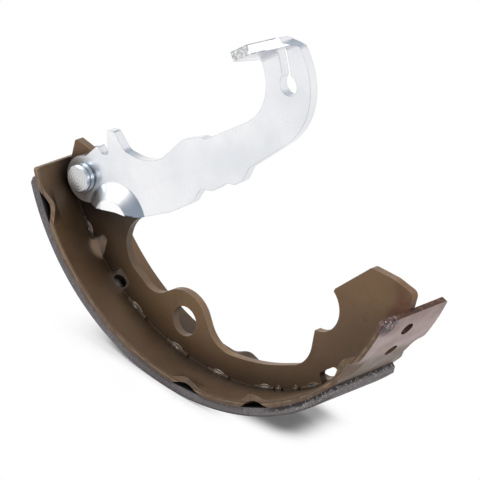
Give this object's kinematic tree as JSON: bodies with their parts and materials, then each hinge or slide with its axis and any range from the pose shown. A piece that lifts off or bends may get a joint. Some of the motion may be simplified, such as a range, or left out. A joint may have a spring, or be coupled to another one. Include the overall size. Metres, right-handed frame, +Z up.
{
  "type": "drum brake shoe",
  "caption": "Bonded drum brake shoe with a pressed steel table, a notched web and a hooked parking lever that swings on a headed pin",
  "frame": {"origin": "the drum's centre, which the lining and the table are curved about, at the middle of the web", "axes": "+X runs from the pin's end of the shoe to its other end, +Y is the drum's axis pointing away from the lever's side of the web, +Z is up with the shoe standing on its lining"},
  "size_m": [0.1817, 0.0415, 0.1611],
  "materials": {
    "web_steel": "dark brown phosphate coat, satin",
    "table_steel": "dark brown phosphate coat, satin, lighter at the sheared edges",
    "lining": "moulded friction compound, matt and speckled",
    "lever_zinc": "bright zinc plate, satin",
    "pin_zinc": "turned end, zinc plated",
    "spring_steel": "oiled spring steel"
  },
  "bodies": {
    "shoe": {"shoe_web": "web_steel", "shoe_table": "table_steel", "friction_lining": "lining", "lever_pin": "pin_zinc", "wave_washer": "spring_steel", "retaining_clip": "spring_steel"},
    "lever": {"parking_lever": "lever_zinc"}
  },
  "joints": [
    {"name": "lever_pivot", "type": "hinge", "parent": "shoe", "child": "lever", "pos_m": [-0.07008, 0, -0.04621], "axis": [0, -1, 0], "range_deg": [-48, 75]}
  ]
}
